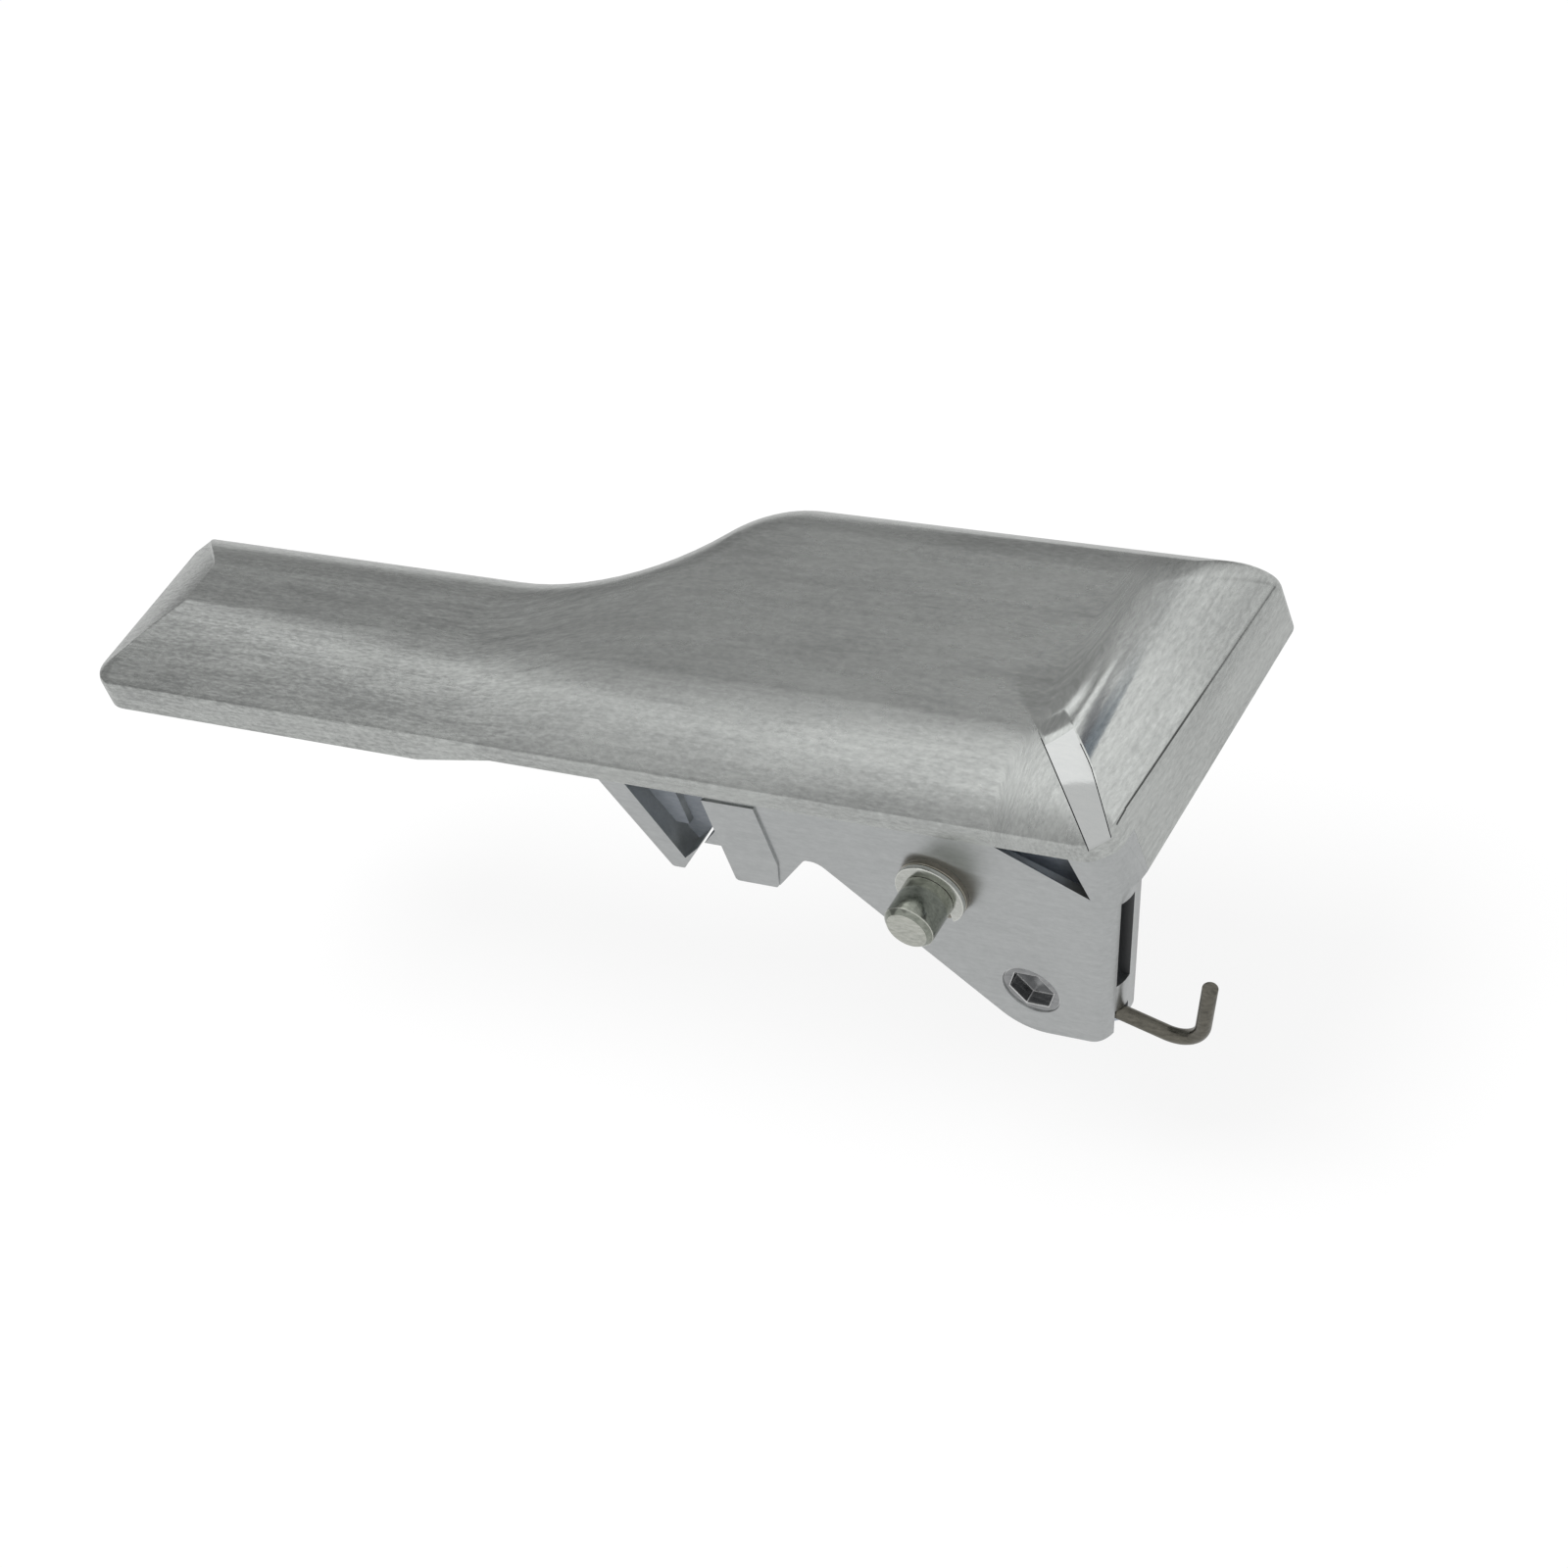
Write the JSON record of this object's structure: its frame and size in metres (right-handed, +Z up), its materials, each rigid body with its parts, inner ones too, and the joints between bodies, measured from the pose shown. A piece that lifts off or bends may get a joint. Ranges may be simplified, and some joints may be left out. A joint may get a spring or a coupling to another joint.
{
  "type": "interior door handle",
  "caption": "Die-cast door release lever with a wide paddle and slim grip, rocking on a cross pin against a return spring, with a hooked wire link that pulls the latch",
  "frame": {"origin": "On the axis of the pivot pin, midway through the thickness of the lever's arm", "axes": "+X along the lever to its wide end, +Y along the pivot pin away from the side with the socket and the stop block, +Z up out of the paddle's top"},
  "size_m": [0.2004, 0.0685, 0.0496],
  "materials": {
    "plated_casting": "satin chrome plate over a zinc die casting, finely brushed on top",
    "bush": "sintered bronze, lightly oiled",
    "zinc_pin": "turned steel, zinc plated with a yellowish tint",
    "ring_steel": "stamped steel, zinc plated",
    "spring_wire": "oil-tempered spring wire",
    "link_pin_steel": "turned steel with a broached socket",
    "link_wire": "dark drawn steel wire"
  },
  "bodies": {
    "pivot": {"pivot_pin": "zinc_pin", "near_retaining_ring": "ring_steel", "far_retaining_ring": "ring_steel", "far_washer": "ring_steel", "return_spring": "spring_wire"},
    "lever": {"lever_casting": "plated_casting", "near_bush": "bush", "far_bush": "bush", "link_pin": "link_pin_steel"},
    "link": {"pull_link": "link_wire"}
  },
  "joints": [
    {"name": "lever_rock", "type": "hinge", "parent": "pivot", "child": "lever", "pos_m": [0, 0, 0], "axis": [0, 1, 0], "range_deg": [0, 30], "stiffness_Nm_per_rad": 0.5, "springref_deg": -20.05, "deforming": ["return_spring"]},
    {"name": "link_swing", "type": "hinge", "parent": "lever", "child": "link", "pos_m": [0.0101, 0, -0.02], "axis": [0, 1, 0], "range_deg": [0, 25]}
  ]
}
